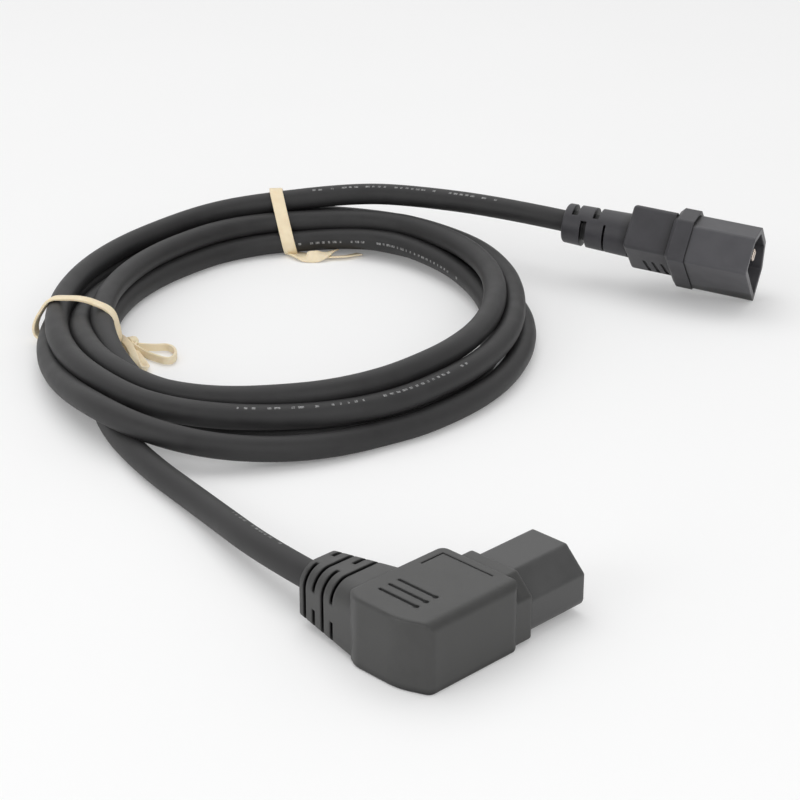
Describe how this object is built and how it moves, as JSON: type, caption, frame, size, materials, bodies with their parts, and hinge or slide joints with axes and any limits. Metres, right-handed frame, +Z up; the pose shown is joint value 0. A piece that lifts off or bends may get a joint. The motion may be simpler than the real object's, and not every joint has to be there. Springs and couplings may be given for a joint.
{
  "type": "power cord",
  "caption": "Coiled black power cord with a right-angle appliance connector on one end and a straight shrouded plug on the other, tied with rubber bands.",
  "frame": {"origin": "middle of the box round the two ends and the bands, on the surface that the cord lies on", "axes": "+X to the right of the coil as pictured, +Y from the angled connector to the back of the coil, +Z up"},
  "size_m": [0.2484, 0.332, 0.0322],
  "materials": {
    "connector_rubber": "matte",
    "connector_insert": "matte",
    "plug_rubber": "matte",
    "plug_insert": "satin",
    "contact_brass": "satin",
    "plated_pin": "polished",
    "copper": "bright",
    "line_insulation": "matte",
    "neutral_insulation": "matte",
    "earth_insulation": "matte",
    "cable_rubber": "matte",
    "band_rubber": "matte"
  },
  "bodies": {
    "root": {"connector_overmould": "connector_rubber", "connector_nose": "connector_insert", "connector_line_contact": "contact_brass", "connector_neutral_contact": "contact_brass", "connector_earth_contact": "contact_brass", "connector_line_core": "line_insulation", "connector_neutral_core": "neutral_insulation", "connector_earth_core": "earth_insulation", "connector_line_conductor": "copper", "connector_neutral_conductor": "copper", "connector_earth_conductor": "copper", "plug_overmould": "plug_rubber", "plug_shroud": "plug_insert", "plug_line_pin": "plated_pin", "plug_neutral_pin": "plated_pin", "plug_earth_pin": "plated_pin", "plug_line_core": "line_insulation", "plug_neutral_core": "neutral_insulation", "plug_earth_core": "earth_insulation", "plug_line_conductor": "copper", "plug_neutral_conductor": "copper", "plug_earth_conductor": "copper", "cable_coil": "cable_rubber", "cable_to_plug": "cable_rubber", "cable_to_connector": "cable_rubber", "back_band": "band_rubber", "left_band": "band_rubber"}
  },
  "joints": []
}
